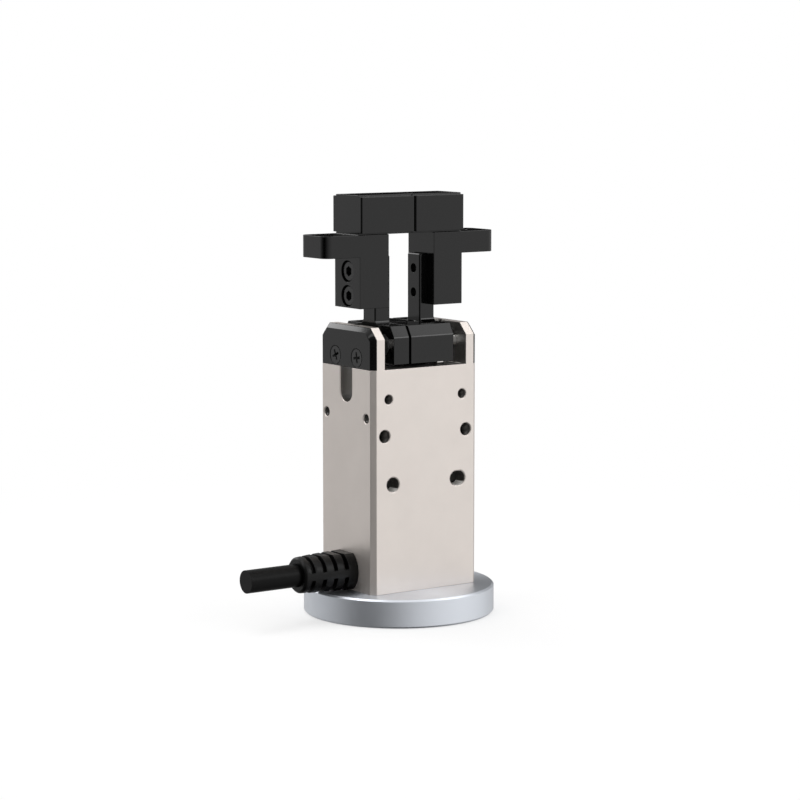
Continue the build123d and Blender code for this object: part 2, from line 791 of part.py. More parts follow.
def make_plunger_bush():
    """Bronze bush through the yoke's top and the partition, with a flange on the chamber floor."""
    outer_r = sleeve_d / 2
    inner_r = plunger_d / 2 + plunger_fit
    top = chamber_floor_h + sleeve_flange_t
    flange_r = sleeve_flange_d / 2
    outline = [
        (inner_r, bore_top_h - yoke_top_t),
        (outer_r, bore_top_h - yoke_top_t),
        (outer_r, chamber_floor_h),
        (flange_r, chamber_floor_h),
        (flange_r, top),
        (inner_r, top),
    ]
    return revolved(outline)


def make_clamp_ring():
    ring = rod_along_z(2 * yoke_r, 0, 0, pole_base_h - clamp_ring_t, pole_base_h)
    return ring - rod_along_z(2 * (yoke_r - clamp_ring_w), 0, 0, pole_base_h - clamp_ring_t, pole_base_h)


def make_board():
    board = block(board_x0, board_x1, -board_half_y, board_half_y, board_h, board_top_h)
    board = chamfer(board.edges().filter_by(Axis.Z), board_corner)
    for x, y in pillar_places():
        board -= rod_along_z(board_screw_d + 2 * board_screw_gap, x, y, board_h, board_top_h)
    return board


def pillar_places():
    left = board_x0 + pillar_inset_x
    right = board_x1 - pillar_inset_x
    return [(right, -pillar_y), (right, pillar_y), (left, pillar_y)]


def make_pillars():
    pillars = []
    for x, y in pillar_places():
        pillar = rod_along_z(pillar_d, x, y, 0, board_h)
        pillars.append(pillar - rod_along_z(board_screw_d, x, y, board_h - board_tap_depth, board_h))
    return Compound(pillars)


def make_board_screws():
    screws = []
    thread_d = board_screw_d - 2 * thread_gap
    for x, y in pillar_places():
        screw = rod_along_z(board_screw_head_d, x, y, board_top_h, board_top_h + board_screw_head_t)
        screws.append(screw + rod_along_z(thread_d, x, y, board_h - board_screw_depth, board_top_h))
    return Compound(screws)


def make_board_parts():
    """Cable socket under the board, two capacitors and two driver chips on top of it."""
    plug_half_y = pillar_y - pillar_d / 2 - plug_side_gap
    plug_low_h = cable_h - plug_below_cable
    parts = [block(plug_x0, plug_x0 + plug_length, -plug_half_y, plug_half_y, plug_low_h, board_h)]
    for y in (-capacitor_y, capacitor_y):
        parts.append(rod_along_z(capacitor_d, capacitor_x, y, board_top_h, board_top_h + capacitor_t))
    for y in (-chip_size / 2, chip_size / 2 + chip_gap):
        parts.append(block(chip_x, chip_x + chip_size, y, y + chip_size, board_top_h, board_top_h + chip_t))
    return Compound(parts)


def make_coil_leads():
    leads = []
    for y in (-lead_y, lead_y):
        leads.append(rod_along_z(lead_d, lead_x, y, board_top_h, pole_base_h + pole_plate_t))
    return Compound(leads)


def make_strain_relief():
    """A tapered boot, flat above and below, whose slots leave a straight rib along each side."""
    neck_r = relief_neck_d / 2
    lip_r = neck_r + relief_lip_w
    bore_r = cable_d / 2 + cable_fit
    lip_x = relief_lip_t - bay_half_x
    outline = [
        (relief_outer_x, bore_r),
        (relief_outer_x, relief_tip_r - relief_tip_chamfer_r),
        (relief_outer_x + relief_tip_chamfer_x, relief_tip_r),
        (-half_x, relief_body_r),
        (-half_x, neck_r),
        (-bay_half_x, neck_r),
        (-bay_half_x, lip_r),
        (lip_x, lip_r - relief_lip_taper),
        (lip_x, bore_r),
    ]
    face = Plane.XZ * make_face(Polyline(*outline, close=True))
    relief = revolve(face, Axis.X, 360)
    length = relief_length + half_x
    relief &= Pos(relief_outer_x + length / 2, 0, 0) * Box(length, 4 * relief_body_r, 2 * relief_flat_half)
    for index in range(relief_slot_count):
        relief -= relief_slots(relief_outer_x + relief_slot_start + index * relief_slot_pitch)
    return Pos(0, 0, deck + cable_h) * relief


def relief_slots(x):
    """The upper and the lower slot that begin at x; their floor stays clear of the cable's bore."""
    ring = Cylinder(relief_body_r + 1, relief_slot_w)
    ring -= Cylinder(cable_d / 2 + cable_fit + relief_slot_floor, relief_slot_w)
    rib = Box(relief_slot_w, 2 * relief_body_r + 2, 2 * relief_rib_half)
    return Pos(x + relief_slot_w / 2, 0, 0) * (Rot(0, 90, 0) * ring - rib)


def make_cable():
    return rod_along_x(cable_d, cable_outer_x, cable_inner_x, 0, cable_h)


def make_cable_cores():
    cores = []
    for y in (-core_y, 0, core_y):
        cores.append(rod_along_x(core_d, cable_inner_x, plug_x0, y, cable_h))
    return Compound(cores)


save("mounting_flange", make_flange())
save("flange_screws", make_flange_screws())
save("housing", make_housing())
save("right_cover", make_cover())
save("left_cover", turned(make_cover()))
save("right_cover_screws", make_cover_screws())
save("left_cover_screws", turned(make_cover_screws()))
save("front_guide_rod", make_rod(-rod_y))
save("rear_guide_rod", make_rod(rod_y))
save("solenoid_yoke", make_yoke())
save("fixed_pole", make_pole())
save("coil_bobbin", make_bobbin())
save("coil_winding", make_winding())
save("plunger_bush", make_plunger_bush())
save("clamp_ring", make_clamp_ring())
save("coil_leads", make_coil_leads())
save("control_board", make_board())
save("board_pillars", make_pillars())
save("board_screws", make_board_screws())
save("board_parts", make_board_parts())
save("strain_relief", make_strain_relief())
save("supply_cable", make_cable())
save("cable_cores", make_cable_cores())
save("plunger", make_plunger())
save("cam_plate", make_cam())
save("cam_cross_pin", make_cross_pin())
save("return_spring", make_spring())
save("right_carrier", make_right_carrier())
save("left_carrier", turned(make_right_carrier()))
save("right_rod_bushes", make_right_bushes())
save("left_rod_bushes", turned(make_right_bushes()))
save("right_drive_pin", make_right_drive_pin())
save("left_drive_pin", turned(make_right_drive_pin()))
save("right_roller", make_right_roller())
save("left_roller", turned(make_right_roller()))
save("right_jaw", make_jaw(1))
save("left_jaw", make_jaw(-1))
save("right_jaw_screws", make_right_jaw_screws())
save("left_jaw_screws", turned(make_right_jaw_screws()))
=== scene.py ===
import json
import math

import bpy
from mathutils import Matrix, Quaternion, Vector

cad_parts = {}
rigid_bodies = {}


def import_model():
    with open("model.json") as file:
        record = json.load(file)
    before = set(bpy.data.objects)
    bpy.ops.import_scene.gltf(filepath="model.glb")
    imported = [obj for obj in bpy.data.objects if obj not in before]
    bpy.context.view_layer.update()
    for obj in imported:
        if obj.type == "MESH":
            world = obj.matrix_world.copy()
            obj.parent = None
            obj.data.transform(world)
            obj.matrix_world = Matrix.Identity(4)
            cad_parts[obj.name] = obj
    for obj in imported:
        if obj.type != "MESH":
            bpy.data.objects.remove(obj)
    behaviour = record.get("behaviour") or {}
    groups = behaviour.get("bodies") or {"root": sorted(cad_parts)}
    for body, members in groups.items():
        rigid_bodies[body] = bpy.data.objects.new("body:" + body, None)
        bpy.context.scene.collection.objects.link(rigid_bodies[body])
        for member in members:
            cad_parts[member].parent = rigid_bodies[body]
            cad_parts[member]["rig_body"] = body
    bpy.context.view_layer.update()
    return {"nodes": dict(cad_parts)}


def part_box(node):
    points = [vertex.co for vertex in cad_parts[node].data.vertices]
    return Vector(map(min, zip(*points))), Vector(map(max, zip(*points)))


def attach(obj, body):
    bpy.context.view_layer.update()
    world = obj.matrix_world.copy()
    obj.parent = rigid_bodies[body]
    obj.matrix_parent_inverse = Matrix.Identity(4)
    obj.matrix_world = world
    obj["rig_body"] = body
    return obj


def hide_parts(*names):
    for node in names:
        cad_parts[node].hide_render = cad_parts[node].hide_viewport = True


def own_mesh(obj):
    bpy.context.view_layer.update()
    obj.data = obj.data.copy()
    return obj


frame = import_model()
nodes = frame["nodes"]
bpy.ops.object.select_all(action="DESELECT")


# Camera: a long lens a little higher than the gripper's top, turned towards the cable side, so that
# one wide face, one narrow face and the window between the fingers all show.
camera_data = bpy.data.cameras.new("camera")
camera_data.lens = 116.2
camera_data.sensor_width = 36.0
camera_data.clip_start = 0.01
camera_data.clip_end = 50.0
camera = bpy.data.objects.new("camera", camera_data)
bpy.context.collection.objects.link(camera)
camera.location = (-0.4031, -0.5839, 0.1490)
looked_at = Vector((0.0007, 0.0004, 0.0588))
aim = looked_at - camera.location
camera.rotation_euler = aim.to_track_quat("-Z", "Y").to_euler()
bpy.context.scene.camera = camera
bpy.context.scene.view_settings.view_transform = "Standard"


# Studio: a plain white background for the camera. Metal meets a greyer one instead, lighter at the
# front right and darker at the left, at the right, behind and below. An even pale tent and five
# soft lamps light the rest.
world = bpy.data.worlds.new("studio")
world.use_nodes = True
bpy.context.scene.world = world
tree = world.node_tree
where = tree.nodes.new("ShaderNodeTexCoord")


def card_zone(direction, sharpness, amount):
    """A lighter or darker zone of the studio round a direction, which fades out with the angle."""
    facing = tree.nodes.new("ShaderNodeVectorMath")
    facing.operation = "DOT_PRODUCT"
    facing.inputs[1].default_value = Vector(direction).normalized()
    tree.links.new(where.outputs["Generated"], facing.inputs[0])
    front = tree.nodes.new("ShaderNodeMath")
    front.operation = "MAXIMUM"
    front.inputs[1].default_value = 0.0
    tree.links.new(facing.outputs["Value"], front.inputs[0])
    fade = tree.nodes.new("ShaderNodeMath")
    fade.operation = "POWER"
    fade.inputs[1].default_value = sharpness
    tree.links.new(front.outputs["Value"], fade.inputs[0])
    scaled = tree.nodes.new("ShaderNodeMath")
    scaled.operation = "MULTIPLY"
    scaled.inputs[1].default_value = amount
    tree.links.new(fade.outputs["Value"], scaled.inputs[0])
    return scaled.outputs["Value"]


def studio_light(strength):
    """A white background of the world at this strength."""
    light = tree.nodes.new("ShaderNodeBackground")
    light.inputs["Color"].default_value = (1.0, 1.0, 1.0, 1.0)
    light.inputs["Strength"].default_value = strength
    return light


plain_strength = 0.68
least_strength = 0.005
tent_strength = 0.75
plain = tree.nodes.new("ShaderNodeValue")
plain.outputs["Value"].default_value = plain_strength
total = plain.outputs["Value"]
for zone in (
    card_zone((0.71, -0.70, 0.05), sharpness=2.0, amount=0.42),
    card_zone((-0.96, -0.27, 0.0), sharpness=3.0, amount=-0.68),
    card_zone((0.571, 0.820, -0.05), sharpness=60.0, amount=-2.5),
    card_zone((0.84, 0.39, 0.37), sharpness=8.0, amount=-0.45),
    card_zone((0.0, 0.0, -1.0), sharpness=2.0, amount=-0.7),
):
    add = tree.nodes.new("ShaderNodeMath")
    add.operation = "ADD"
    tree.links.new(zone, add.inputs[0])
    tree.links.new(total, add.inputs[1])
    total = add.outputs["Value"]
darkest = tree.nodes.new("ShaderNodeMath")
darkest.operation = "MAXIMUM"
darkest.inputs[1].default_value = least_strength
tree.links.new(total, darkest.inputs[0])
in_metal = studio_light(1.0)
tree.links.new(darkest.outputs["Value"], in_metal.inputs["Strength"])
rays = tree.nodes.new("ShaderNodeLightPath")
mirrored = tree.nodes.new("ShaderNodeMath")
mirrored.operation = "MAXIMUM"
tree.links.new(rays.outputs["Is Glossy Ray"], mirrored.inputs[0])
tree.links.new(rays.outputs["Is Transmission Ray"], mirrored.inputs[1])
lit = tree.nodes.new("ShaderNodeMixShader")
tree.links.new(mirrored.outputs["Value"], lit.inputs["Fac"])
tree.links.new(studio_light(tent_strength).outputs["Background"], lit.inputs[1])
tree.links.new(in_metal.outputs["Background"], lit.inputs[2])
seen = tree.nodes.new("ShaderNodeMixShader")
tree.links.new(rays.outputs["Is Camera Ray"], seen.inputs["Fac"])
tree.links.new(lit.outputs["Shader"], seen.inputs[1])
tree.links.new(studio_light(1.0).outputs["Background"], seen.inputs[2])
tree.links.new(seen.outputs["Shader"], tree.nodes["World Output"].inputs["Surface"])


gripper_middle = Vector((0, 0, 0.06))


def soft_lamp(name, place, width, height, power, turn=0.0):
    """A rectangular lamp at place that faces the middle of the gripper, turned about its own axis."""
    data = bpy.data.lights.new(name, "AREA")
    data.shape = "RECTANGLE"
    data.size = width
    data.size_y = height
    data.energy = power
    lamp = bpy.data.objects.new(name, data)
    bpy.context.collection.objects.link(lamp)
    lamp.location = place
    facing = (gripper_middle - lamp.location).to_track_quat("-Z", "Y")
    lamp.rotation_euler = (facing @ Quaternion((0, 0, 1), math.radians(turn))).to_euler()


soft_lamp("front_lamp", (0.85, -1.15, 0.72), width=0.5, height=0.6, power=2.8)
soft_lamp("top_lamp", (0.1, 0.05, 1.5), width=1.4, height=1.4, power=3)
soft_lamp("left_lamp", (-0.48, 0.32, 1.26), width=1.9, height=0.6, power=6.2, turn=-27)
soft_lamp("right_lamp", (0.88, -0.38, 1.25), width=0.8, height=0.8, power=2.3)
soft_lamp("back_lamp", (-0.2, 1.5, 0.95), width=0.8, height=0.5, power=3)


# Floor: a plain pale card that keeps the gripper's soft shadow near its foot and turns to plain
# white further out. It is left out of what metal reflects, so metal shows the studio there too.
bpy.ops.mesh.primitive_circle_add(vertices=96, radius=6.0, fill_type="NGON", location=(0, 0, -0.0001))
floor = bpy.context.object
floor.name = "floor"
card = bpy.data.materials.new("floor_card")
card.use_nodes = True
tree = card.node_tree
paint = tree.nodes["Principled BSDF"]
paint.inputs["Base Color"].default_value = (0.9, 0.9, 0.9, 1.0)
paint.inputs["Roughness"].default_value = 0.9
paint.inputs["Specular IOR Level"].default_value = 0.1
glow = tree.nodes.new("ShaderNodeEmission")
glow.inputs["Strength"].default_value = 1.0
where = tree.nodes.new("ShaderNodeTexCoord")
distance = tree.nodes.new("ShaderNodeVectorMath")
distance.operation = "LENGTH"
tree.links.new(where.outputs["Object"], distance.inputs[0])
far = tree.nodes.new("ShaderNodeMapRange")
far.interpolation_type = "SMOOTHSTEP"
far.inputs["From Max"].default_value = 0.25
far.inputs["To Min"].default_value = 0.6
tree.links.new(distance.outputs["Value"], far.inputs["Value"])
rays = tree.nodes.new("ShaderNodeLightPath")
share = tree.nodes.new("ShaderNodeMath")
share.operation = "MULTIPLY"
tree.links.new(rays.outputs["Is Camera Ray"], share.inputs[0])
tree.links.new(far.outputs["Result"], share.inputs[1])
blend = tree.nodes.new("ShaderNodeMixShader")
tree.links.new(share.outputs["Value"], blend.inputs["Fac"])
tree.links.new(paint.outputs["BSDF"], blend.inputs[1])
tree.links.new(glow.outputs["Emission"], blend.inputs[2])
tree.links.new(blend.outputs["Shader"], tree.nodes["Material Output"].inputs["Surface"])
floor.data.materials.append(card)
floor.visible_glossy = False
bpy.ops.object.select_all(action="DESELECT")


# Mounting flange: a disc of aluminium alloy turned in a lathe, with broken edges. The tool's fine
# rings stretch the light on its top. Four black cap screws from below hold the housing on it.


def finish(name, colour, metallic, roughness, grain, depth, mottle=0.05, specular=0.5):
    """A surface with fine grain: grain is its size in metres and depth its height."""
    material = bpy.data.materials.new(name)
    material.use_nodes = True
    tree = material.node_tree
    shader = tree.nodes["Principled BSDF"]
    shader.inputs["Metallic"].default_value = metallic
    shader.inputs["Specular IOR Level"].default_value = specular
    where = tree.nodes.new("ShaderNodeTexCoord")
    cloud = tree.nodes.new("ShaderNodeTexNoise")
    cloud.inputs["Scale"].default_value = 120.0
    cloud.inputs["Detail"].default_value = 4.0
    tree.links.new(where.outputs["Object"], cloud.inputs["Vector"])
    grit = tree.nodes.new("ShaderNodeTexNoise")
    grit.inputs["Scale"].default_value = 1.0 / grain
    grit.inputs["Detail"].default_value = 3.0
    tree.links.new(where.outputs["Object"], grit.inputs["Vector"])
    tint = tree.nodes.new("ShaderNodeMix")
    tint.data_type = "RGBA"
    tint.inputs["A"].default_value = (*[c * (1 - mottle) for c in colour], 1.0)
    tint.inputs["B"].default_value = (*[c * (1 + mottle) for c in colour], 1.0)
    tree.links.new(cloud.outputs["Fac"], tint.inputs["Factor"])
    tree.links.new(tint.outputs["Result"], shader.inputs["Base Color"])
    uneven = 0.15
    polish = tree.nodes.new("ShaderNodeMapRange")
    polish.inputs["To Min"].default_value = roughness * (1 - uneven)
    polish.inputs["To Max"].default_value = roughness * (1 + uneven)
    tree.links.new(grit.outputs["Fac"], polish.inputs["Value"])
    tree.links.new(polish.outputs["Result"], shader.inputs["Roughness"])
    bump = tree.nodes.new("ShaderNodeBump")
    bump.name = "grain"
    bump.inputs["Strength"].default_value = 1.0
    bump.inputs["Distance"].default_value = depth
    tree.links.new(grit.outputs["Fac"], bump.inputs["Height"])
    if depth:
        tree.links.new(bump.outputs["Normal"], shader.inputs["Normal"])
    return material


def add_lines(material, pattern, axis, scale, depth, wobble=0.5):
    """Adds the fine lines that a cutter, a grinding wheel or a winder leaves to a finish."""
    tree = material.node_tree
    where = tree.nodes.new("ShaderNodeTexCoord")
    lines = tree.nodes.new("ShaderNodeTexWave")
    lines.wave_type = pattern
    if pattern == "RINGS":
        lines.rings_direction = axis
    else:
        lines.bands_direction = axis
    lines.inputs["Scale"].default_value = scale
    lines.inputs["Distortion"].default_value = wobble
    tree.links.new(where.outputs["Object"], lines.inputs["Vector"])
    marks = tree.nodes.new("ShaderNodeBump")
    marks.inputs["Strength"].default_value = 1.0
    marks.inputs["Distance"].default_value = depth
    tree.links.new(lines.outputs["Fac"], marks.inputs["Height"])
    tree.links.new(tree.nodes["grain"].outputs["Normal"], marks.inputs["Normal"])
    tree.links.new(marks.outputs["Normal"], tree.nodes["Principled BSDF"].inputs["Normal"])


def dress(material, *names):
    """Gives CAD nodes their material and smooth shading on their curved faces."""
    for name in names:
        nodes[name].data.materials.clear()
        nodes[name].data.materials.append(material)
        nodes[name].select_set(True)
        bpy.context.view_layer.objects.active = nodes[name]
        bpy.ops.object.shade_smooth_by_angle(angle=math.radians(30))
        bpy.ops.object.select_all(action="DESELECT")


mm_in_metre = 1000


def pick(piece, kind, test):
    """Opens a piece for editing with the points, edges or faces selected that pass a test in mm."""
    bpy.ops.object.select_all(action="DESELECT")
    piece.select_set(True)
    bpy.context.view_layer.objects.active = piece
    bpy.ops.object.mode_set(mode="EDIT")
    bpy.ops.mesh.select_mode(type=kind)
    bpy.ops.mesh.select_all(action="DESELECT")
    bpy.ops.object.mode_set(mode="OBJECT")
    points = piece.data.vertices
    if kind == "VERT":
        for point in points:
            point.select = test(point.co * mm_in_metre)
    if kind == "EDGE":
        for edge in piece.data.edges:
            ends = points[edge.vertices[0]].co + points[edge.vertices[1]].co
            edge.select = test(ends / 2 * mm_in_metre)
    if kind == "FACE":
        for face in piece.data.polygons:
            face.select = test(face.center * mm_in_metre, face.normal)
    bpy.ops.object.mode_set(mode="EDIT")


def copied(name):
    """A copy of a CAD node, with its loose triangles joined into whole flat faces."""
    piece = bpy.data.objects.new(name + "_finished", nodes[name].data.copy())
    bpy.context.collection.objects.link(piece)
    piece.select_set(True)
    bpy.context.view_layer.objects.active = piece
    bpy.ops.object.mode_set(mode="EDIT")
    bpy.ops.mesh.select_all(action="SELECT")
    bpy.ops.mesh.remove_doubles(threshold=0.000002)
    bpy.ops.mesh.dissolve_limited(angle_limit=math.radians(0.5))
    bpy.ops.object.mode_set(mode="OBJECT")
    bpy.ops.object.select_all(action="DESELECT")
    return piece


def stand_for(piece, name, width):
    """Rounds a copy's sharp edges by width and lets it stand for its CAD node."""
    piece.select_set(True)
    bpy.context.view_layer.objects.active = piece
    edge = piece.modifiers.new("edge", "BEVEL")
    edge.width = width
    edge.segments = 2
    edge.limit_method = "ANGLE"
    edge.angle_limit = math.radians(35)
    edge.use_clamp_overlap = False
    bpy.ops.object.modifier_apply(modifier="edge")
    bpy.ops.object.shade_smooth_by_angle(angle=math.radians(40))
    flats = piece.modifiers.new("flats", "WEIGHTED_NORMAL")
    flats.keep_sharp = True
    bpy.ops.object.modifier_apply(modifier="flats")
    bpy.ops.object.select_all(action="DESELECT")
    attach(piece, nodes[name]["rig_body"])
    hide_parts(name)
    return piece


def face_finish(piece, material, test):
    """Gives the faces of a piece that pass a test a second material."""
    piece.data.materials.append(material)
    pick(piece, "FACE", test)
    piece.active_material_index = len(piece.data.materials) - 1
    bpy.ops.object.material_slot_assign()
    bpy.ops.object.mode_set(mode="OBJECT")
    bpy.ops.object.select_all(action="DESELECT")


turned_rim = finish(
    "turned_rim", (0.66, 0.69, 0.74),
    metallic=0.8, roughness=0.33, grain=0.004, depth=0.0, mottle=0.02,
)
dress(turned_rim, "mounting_flange")
fine_edge = 0.00004
flange = stand_for(copied("mounting_flange"), "mounting_flange", width=fine_edge)
# Painted shade: the top face gets a slightly darker alloy tone than the rim, standing in for the
# shade on it.
faced = finish(
    "faced_alloy", (0.60, 0.63, 0.68),
    metallic=0.9, roughness=0.33, grain=0.004, depth=0.0, mottle=0.02,
)
tree = faced.node_tree
shader = tree.nodes["Principled BSDF"]
shader.inputs["Anisotropic"].default_value = 0.9
shader.inputs["Anisotropic Rotation"].default_value = 0.25
round_axis = tree.nodes.new("ShaderNodeTangent")
round_axis.direction_type = "RADIAL"
round_axis.axis = "Z"
tree.links.new(round_axis.outputs["Tangent"], shader.inputs["Tangent"])
level = 0.95
face_finish(flange, faced, lambda centre, normal: normal.z > level)

black_oxide = finish(
    "black_oxide", (0.004, 0.004, 0.004),
    metallic=0.0, roughness=0.25, grain=0.0001, depth=0.000001,
)
dress(black_oxide, "flange_screws")


# Housing: one block of aluminium alloy, blasted to an even satin outside. The slot between the
# ears, the window in each narrow side and the holes are milled and drilled afterwards, so they
# are smoother than the outside.
satin = finish(
    "satin_alloy", (0.70, 0.645, 0.605),
    metallic=0.8, roughness=0.40, grain=0.00015, depth=0.000003,
)
dress(satin, "housing")
milled = finish(
    "milled_alloy", (0.70, 0.68, 0.65),
    metallic=1.0, roughness=0.35, grain=0.0003, depth=0.000002,
)
narrow_face = 17.5
wide_face = 13.0
window_half = 3.0
window_foot = 59.0
window_head = 69.0
near = 0.05
housing = copied("housing")
pick(
    housing,
    "EDGE",
    lambda place: abs(place.x) > narrow_face - near
    and abs(place.y) < window_half
    and window_foot < place.z < window_head,
)
bpy.ops.mesh.bevel(offset=0.0003, segments=3, affect="EDGES")
bpy.ops.object.mode_set(mode="OBJECT")
bpy.ops.object.select_all(action="DESELECT")
stand_for(housing, "housing", width=0.0001)
skin = 0.3
corner_reach = 28.0
ears_from = 74.0
upward = 0.5
face_finish(
    housing,
    milled,
    lambda centre, normal: abs(centre.x) < narrow_face - skin
    and abs(centre.y) < wide_face - skin
    and abs(centre.x) + abs(centre.y) < corner_reach
    and not (centre.z > ears_from and normal.z > upward),
)


# Threads: the tapped holes in the housing's wide and narrow sides, M3 and M4. Each thread is a
# ridge of triangular section that runs round the drilled wall, in a near-black tone as painted shade.


def placed(piece, name, mouth, inward):
    """A copy of a piece made along +Z from the origin, set into a hole from its mouth."""
    copy = bpy.data.objects.new(name, piece.data.copy())
    bpy.context.collection.objects.link(copy)
    copy.location = Vector(mouth) / mm_in_metre
    copy.rotation_euler = Vector(inward).to_track_quat("Z", "Y").to_euler()
    copy.select_set(True)
    bpy.context.view_layer.objects.active = copy
    bpy.ops.object.transform_apply(location=True, rotation=True, scale=True)
    bpy.ops.object.select_all(action="DESELECT")
    return copy


def cut_thread(radius, pitch, turns, start):
    """A thread ridge inside a hole of this radius, which starts a little below its mouth."""
    share_of_pitch = 0.54
    size = pitch * share_of_pitch
    flatten = 0.5
    off_wall = 0.00001
    bpy.ops.mesh.primitive_circle_add(
        vertices=3,
        radius=size,
        location=(radius - size * flatten / 2 - off_wall, 0, start + pitch / 2),
        rotation=(math.pi / 2, -math.pi / 2, 0),
    )
    ridge = bpy.context.object
    ridge.scale = (1.0, flatten, 1.0)
    bpy.ops.object.transform_apply(location=True, rotation=True, scale=True)
    helix = ridge.modifiers.new("helix", "SCREW")
    helix.axis = "Z"
    helix.screw_offset = pitch
    helix.iterations = turns
    helix.steps = 24
    helix.render_steps = 24
    bpy.ops.object.modifier_apply(modifier="helix")
    bpy.ops.object.mode_set(mode="EDIT")
    bpy.ops.mesh.select_all(action="SELECT")
    bpy.ops.mesh.fill_holes(sides=3)
    bpy.ops.mesh.select_all(action="SELECT")
    bpy.ops.mesh.normals_make_consistent(inside=False)
    bpy.ops.object.mode_set(mode="OBJECT")
    bpy.ops.object.shade_smooth_by_angle(angle=math.radians(40))
    bpy.ops.object.select_all(action="DESELECT")
    return ridge


# Painted shade: the threads get a near-black alloy tone that stands in for the shade in the tapped
# holes.
thread_painted_shade = finish(
    "cut_thread", (0.13, 0.125, 0.12),
    metallic=1.0, roughness=0.35, grain=0.0002, depth=0.000002,
)
small_ridge = cut_thread(radius=0.00125, pitch=0.0005, turns=9, start=0.0003)
large_ridge = cut_thread(radius=0.0017, pitch=0.0007, turns=10, start=0.0003)
side_ridge = cut_thread(radius=0.00125, pitch=0.0005, turns=6, start=0.0003)
small_x = (-12.2, 12.2)
small_z = 61.2
large_x = (-13.5, 13.5)
large_z = 51.2
side_y = (-9.7, 9.7)
side_z = 56.0
for name, ridge, mouths, inward in (
    ("front_small_threads", small_ridge, [(x, -wide_face, small_z) for x in small_x], (0, 1, 0)),
    ("rear_small_threads", small_ridge, [(x, wide_face, small_z) for x in small_x], (0, -1, 0)),
    ("front_large_threads", large_ridge, [(x, -wide_face, large_z) for x in large_x], (0, 1, 0)),
    ("rear_large_threads", large_ridge, [(x, wide_face, large_z) for x in large_x], (0, -1, 0)),
    ("left_side_threads", side_ridge, [(-narrow_face, y, side_z) for y in side_y], (1, 0, 0)),
    ("right_side_threads", side_ridge, [(narrow_face, y, side_z) for y in side_y], (-1, 0, 0)),
):
    for number, mouth in enumerate(mouths, start=1):
        thread = placed(ridge, f"{name}_{number}", mouth, inward)
        thread.data.materials.append(thread_painted_shade)
        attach(thread, "base")
for ridge in (small_ridge, large_ridge, side_ridge):
    bpy.data.objects.remove(ridge)


# Dowel holes: one round and one oblong in each wide side, drilled and then reamed to size. Their
# walls are smooth, in an alloy tone darker than the housing's as painted shade. Their lower walls,
# which face up, are a pale matt alloy as painted light, and their floors are near black as painted
# shade.
# Painted shade: the bores' walls get an alloy tone darker than the housing's, standing in for the
# shade inside the hole.
reamed = finish(
    "reamed_alloy", (0.48, 0.47, 0.45),
    metallic=1.0, roughness=0.3, grain=0.0004, depth=0.000001,
)
# Painted light: the bores' lower walls, which face up, get a pale matt alloy that stands in for the
# light falling into the hole.
painted_light_wall = finish(
    "bore_painted_light", (0.90, 0.88, 0.85),
    metallic=0.0, roughness=0.4, grain=0.0004, depth=0.000001,
)
# Painted shade: the bores' floors are near black, standing in for the shade deep in the hole.
painted_shade_floor = finish(
    "bore_painted_shade", (0.06, 0.058, 0.055),
    metallic=1.0, roughness=0.4, grain=0.0003, depth=0.000004,
)
add_lines(reamed, "BANDS", "Y", scale=900.0, depth=0.000002)
lining_middle = 0.00205
bpy.ops.mesh.primitive_cylinder_add(
    vertices=48, radius=0.00198, depth=0.0037, location=(0, 0, lining_middle)
)
bore = bpy.context.object
bpy.ops.object.transform_apply(location=True, rotation=True, scale=True)
square_on = 0.9
pick(bore, "FACE", lambda centre, normal: normal.z < -square_on)
bpy.ops.mesh.delete(type="FACE")
bpy.ops.mesh.select_all(action="SELECT")
bpy.ops.mesh.flip_normals()
bpy.ops.object.mode_set(mode="OBJECT")
wall = bore.modifiers.new("wall", "SOLIDIFY")
wall.thickness = 0.00002
wall.offset = 1.0
bpy.ops.object.modifier_apply(modifier="wall")
bpy.ops.object.shade_smooth_by_angle(angle=math.radians(40))
bpy.ops.object.select_all(action="DESELECT")
dowel_x = 10.8
dowel_z = 37.8
half_stretch = 0.0005
off_axis = 0.001
floor_from = 12.0
lower_wall = 0.6
for name, mouth, inward, stretch in (
    ("front_dowel_bore", (-dowel_x, -wide_face, dowel_z), (0, 1, 0), 0.0),
    ("front_slot_bore", (dowel_x, -wide_face, dowel_z), (0, 1, 0), half_stretch),
    ("rear_dowel_bore", (dowel_x, wide_face, dowel_z), (0, -1, 0), 0.0),
    ("rear_slot_bore", (-dowel_x, wide_face, dowel_z), (0, -1, 0), half_stretch),
):
    lining = placed(bore, name, mouth, inward)
    if stretch:
        for way in (-1, 1):
            pick(lining, "VERT", lambda place: (place.x - mouth[0]) * way > off_axis)
            bpy.ops.transform.translate(value=(way * stretch, 0, 0))
            bpy.ops.object.mode_set(mode="OBJECT")
        bpy.ops.object.select_all(action="DESELECT")
    lining.data.materials.append(reamed)
    # Painted shade on the floors.
    face_finish(
        lining,
        painted_shade_floor,
        lambda centre, normal: abs(normal.y) > square_on and abs(centre.y) < floor_from,
    )
    # Painted light on the lower wall, which faces up.
    face_finish(lining, painted_light_wall, lambda centre, normal: normal.z > lower_wall)
    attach(lining, "base")
bpy.data.objects.remove(bore)


